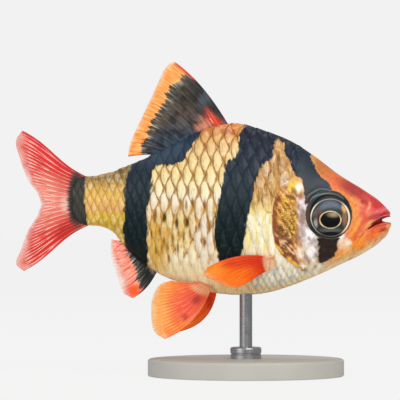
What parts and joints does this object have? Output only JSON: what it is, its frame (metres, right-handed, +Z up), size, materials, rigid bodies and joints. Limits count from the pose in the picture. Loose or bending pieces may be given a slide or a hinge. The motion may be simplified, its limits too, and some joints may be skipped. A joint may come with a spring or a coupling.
{
  "type": "tiger barb model on a display stand",
  "caption": "Still life-size tiger barb fish with spread fins, held level above a round flat base by one short rod.",
  "frame": {"origin": "on the table, under the middle of the fish's length and in its plane of symmetry", "axes": "+X towards the snout, +Y towards the fish's left flank, +Z up"},
  "size_m": [0.0651, 0.034, 0.0545],
  "materials": {
    "skin": "wet scaled skin, cream gold with four black bars and an orange snout",
    "fin": "red orange rays in a thin membrane, the dorsal fin black inside",
    "eye": "clear gloss over a pale iris ring and a black pupil",
    "stand_base": "plain pale matt",
    "stand_rod": "fine turned steel"
  },
  "bodies": {
    "root": {"head": "skin", "lower_jaw": "skin", "gill_cover_left": "skin", "gill_cover_right": "skin", "trunk": "skin", "tail_stalk": "skin", "dorsal_fin": "fin", "anal_fin": "fin", "caudal_fin": "fin", "pectoral_fin_left": "fin", "pectoral_fin_right": "fin", "pelvic_fin_left": "fin", "pelvic_fin_right": "fin", "eye_left": "eye", "eye_right": "eye", "stand_base": "stand_base", "stand_rod": "stand_rod", "stand_collar": "stand_rod"}
  },
  "joints": []
}
